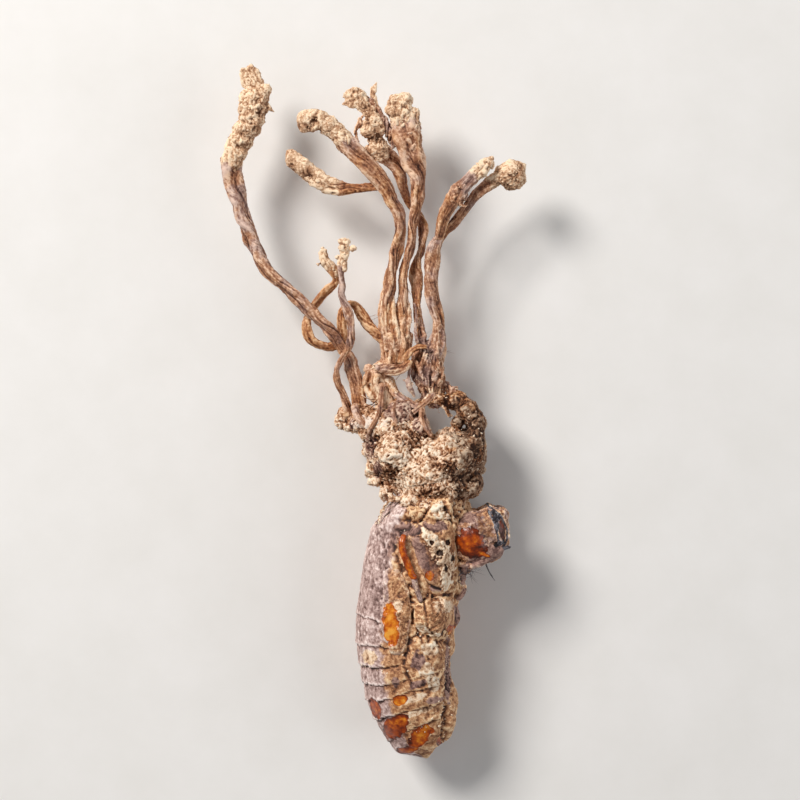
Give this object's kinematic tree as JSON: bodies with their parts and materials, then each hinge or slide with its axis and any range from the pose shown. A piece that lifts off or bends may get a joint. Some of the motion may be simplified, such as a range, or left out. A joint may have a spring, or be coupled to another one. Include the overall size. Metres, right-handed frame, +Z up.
{
  "type": "cordyceps bundle",
  "caption": "Dried cicada-nymph cordyceps lying on its side: a mummified nymph, a pitted fungal crust over its head and a tuft of twisted stalks with powdery heads.",
  "frame": {"origin": "bottom centre of the bounding box, on the surface that the specimen lies on", "axes": "+Y from the nymph's tail to the stalk heads, +X from the nymph's back to its belly, +Z up from the surface, out of its near flank"},
  "size_m": [0.0339, 0.0765, 0.0125],
  "materials": {
    "husk": "dry wrinkled insect husk, grey-brown with a pale bloom",
    "amber_chitin": "half-gloss translucent amber shell in a grey-brown husk",
    "crust": "dry granular fungal crust, cream with dark pits",
    "stalk": "dried grooved stalk, tan-brown, with a cream powdery head"
  },
  "bodies": {
    "root": {"nymph_body": "husk", "wing_pad_near": "husk", "wing_pad_far": "husk", "foreleg_near": "amber_chitin", "foreleg_far": "amber_chitin", "middle_leg_near": "husk", "middle_leg_far": "husk", "hind_leg_near": "husk", "hind_leg_far": "husk", "fungus_crust": "crust", "column_centre": "stalk", "column_right": "stalk", "strand_collar": "stalk", "stalk_tall": "stalk", "stalk_loop": "stalk", "stalk_twisted": "stalk", "stalk_arched": "stalk", "stalk_side": "stalk", "stalk_cluster": "stalk", "stalk_centre": "stalk", "stalk_forked": "stalk", "branch_inner": "stalk", "branch_outer": "stalk"}
  },
  "joints": []
}
